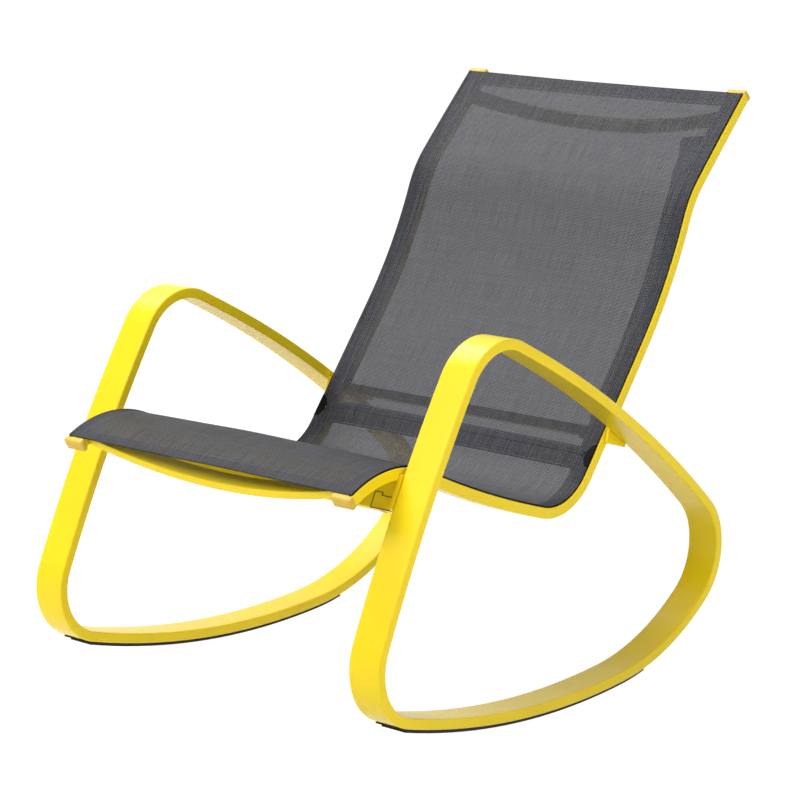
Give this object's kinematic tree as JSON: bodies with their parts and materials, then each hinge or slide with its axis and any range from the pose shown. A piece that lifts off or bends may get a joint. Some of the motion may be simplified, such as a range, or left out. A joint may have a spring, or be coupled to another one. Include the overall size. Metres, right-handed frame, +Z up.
{
  "type": "outdoor rocking chair",
  "caption": "Outdoor rocking chair with two closed flat-tube side loops as legs, rockers and armrests, and a woven sling seat and back.",
  "frame": {"origin": "centre of the chair's footprint box, on the floor that the rockers stand on", "axes": "+Z up, the sitter faces -Y, the sitter's left is +X"},
  "size_m": [0.624, 0.8934, 0.8304],
  "materials": {
    "frame_paint": "satin",
    "sling_fabric": "matte",
    "end_caps": "satin",
    "rubber_strip": "matte",
    "black_plastic": "matte",
    "steel_inserts": "satin",
    "zinc_hardware": "satin"
  },
  "bodies": {
    "root": {"side_loop_left": "frame_paint", "front_stub_left": "frame_paint", "rear_stub_left": "frame_paint", "seat_rail_left": "frame_paint", "back_rail_left": "frame_paint", "front_end_cap_left": "end_caps", "top_end_cap_left": "end_caps", "rocker_strip_left": "rubber_strip", "splice_collar_left": "black_plastic", "seat_keder_left": "black_plastic", "back_keder_left": "black_plastic", "splice_insert_left": "steel_inserts", "lap_bolt_left": "zinc_hardware", "rear_bolt_left": "zinc_hardware", "seat_splice_screw_left": "zinc_hardware", "back_splice_screw_left": "zinc_hardware", "strip_screw_front_left": "zinc_hardware", "strip_screw_middle_left": "zinc_hardware", "strip_screw_rear_left": "zinc_hardware", "side_loop_right": "frame_paint", "front_stub_right": "frame_paint", "rear_stub_right": "frame_paint", "seat_rail_right": "frame_paint", "back_rail_right": "frame_paint", "front_end_cap_right": "end_caps", "top_end_cap_right": "end_caps", "rocker_strip_right": "rubber_strip", "splice_collar_right": "black_plastic", "seat_keder_right": "black_plastic", "back_keder_right": "black_plastic", "splice_insert_right": "steel_inserts", "lap_bolt_right": "zinc_hardware", "rear_bolt_right": "zinc_hardware", "seat_splice_screw_right": "zinc_hardware", "back_splice_screw_right": "zinc_hardware", "strip_screw_front_right": "zinc_hardware", "strip_screw_middle_right": "zinc_hardware", "strip_screw_rear_right": "zinc_hardware", "front_cross_tube": "frame_paint", "rear_cross_tube": "frame_paint", "seat_front_bar": "frame_paint", "top_back_bar": "frame_paint", "seat_sling": "sling_fabric", "back_sling": "sling_fabric"}
  },
  "joints": []
}
